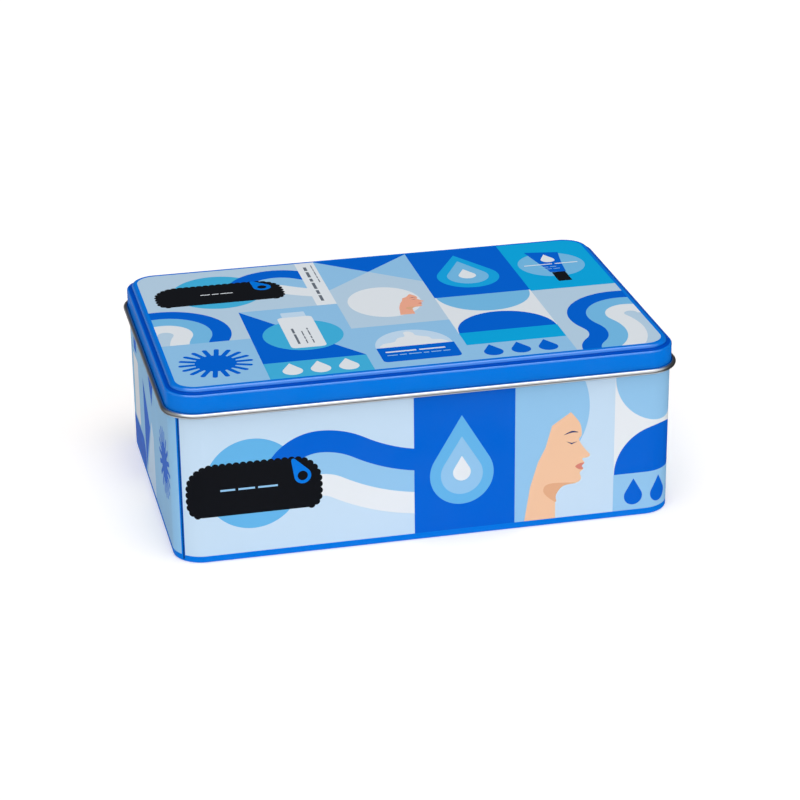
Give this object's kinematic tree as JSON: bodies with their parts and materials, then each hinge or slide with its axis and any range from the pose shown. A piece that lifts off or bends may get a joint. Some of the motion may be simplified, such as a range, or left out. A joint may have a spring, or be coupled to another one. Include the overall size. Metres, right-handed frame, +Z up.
{
  "type": "rectangular slip-lid tin",
  "caption": "Rounded rectangular tinplate box with a printed body wall, a hooked-in base panel and a slip-on pressed lid with a raised top and a rolled bare edge.",
  "frame": {"origin": "middle of the foot, on the surface the tin stands on", "axes": "+Z up through the lid, +X along the long side, +Y from the front to the back, with the side seam in the front-left corner"},
  "size_m": [0.2354, 0.1554, 0.083],
  "materials": {
    "printed_tinplate": "offset-printed artwork in blues under clear varnish, bare tinplate inside",
    "bare_tinplate": "bright tinplate, not printed",
    "printed_lid": "azure print under gloss varnish, artwork on the raised top"
  },
  "bodies": {
    "tin": {"body_wall": "printed_tinplate", "base_panel": "bare_tinplate"},
    "lid": {"lid": "printed_lid"}
  },
  "joints": [
    {"name": "lid_lift", "type": "slide", "parent": "tin", "child": "lid", "axis": [0, 0, 1], "range_m": [0, 0.08]}
  ]
}
